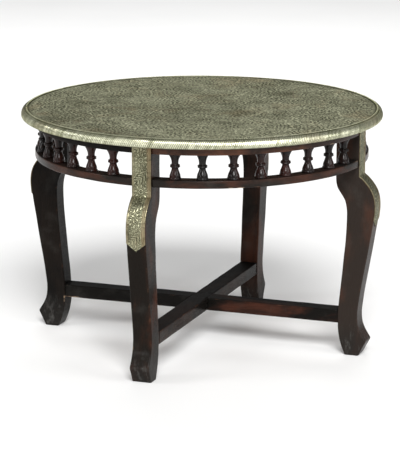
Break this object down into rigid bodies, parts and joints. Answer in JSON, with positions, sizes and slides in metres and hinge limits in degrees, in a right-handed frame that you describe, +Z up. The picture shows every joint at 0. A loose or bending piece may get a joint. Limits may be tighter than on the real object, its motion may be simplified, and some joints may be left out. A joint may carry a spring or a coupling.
{
  "type": "coffee table",
  "caption": "Round low table with an embossed brass-covered top on a ring gallery of turned spindles, sawn cabriole legs and a cross stretcher.",
  "frame": {"origin": "centre of the table's footprint on the floor, under the middle of the round top", "axes": "+Z up through the middle of the top; one leg on each of -Y (front), +X (right), +Y (back) and -X (left)"},
  "size_m": [0.6218, 0.6218, 0.407],
  "materials": {
    "brass": "aged, embossed, satin",
    "wood": "dark red-brown stain under a semi-gloss varnish",
    "board": "bare sawn board",
    "screws": "plain steel"
  },
  "bodies": {
    "root": {"top_board": "board", "brass_top_sheet": "brass", "brass_edge_band": "brass", "leg_right": "wood", "leg_cladding_right": "brass", "leg_back": "wood", "leg_cladding_back": "brass", "leg_left": "wood", "leg_cladding_left": "brass", "leg_front": "wood", "leg_cladding_front": "brass", "lower_rail_back_right": "wood", "upper_rail_back_right": "wood", "top_screw_back_right": "screws", "spindle_back_right_1": "wood", "spindle_back_right_2": "wood", "spindle_back_right_3": "wood", "spindle_back_right_4": "wood", "spindle_back_right_5": "wood", "spindle_back_right_6": "wood", "spindle_back_right_7": "wood", "spindle_back_right_8": "wood", "lower_rail_back_left": "wood", "upper_rail_back_left": "wood", "top_screw_back_left": "screws", "spindle_back_left_1": "wood", "spindle_back_left_2": "wood", "spindle_back_left_3": "wood", "spindle_back_left_4": "wood", "spindle_back_left_5": "wood", "spindle_back_left_6": "wood", "spindle_back_left_7": "wood", "spindle_back_left_8": "wood", "lower_rail_front_left": "wood", "upper_rail_front_left": "wood", "top_screw_front_left": "screws", "spindle_front_left_1": "wood", "spindle_front_left_2": "wood", "spindle_front_left_3": "wood", "spindle_front_left_4": "wood", "spindle_front_left_5": "wood", "spindle_front_left_6": "wood", "spindle_front_left_7": "wood", "spindle_front_left_8": "wood", "lower_rail_front_right": "wood", "upper_rail_front_right": "wood", "top_screw_front_right": "screws", "spindle_front_right_1": "wood", "spindle_front_right_2": "wood", "spindle_front_right_3": "wood", "spindle_front_right_4": "wood", "spindle_front_right_5": "wood", "spindle_front_right_6": "wood", "spindle_front_right_7": "wood", "spindle_front_right_8": "wood", "stretcher_left_right": "wood", "stretcher_front_back": "wood", "stretcher_screw": "screws"}
  },
  "joints": []
}
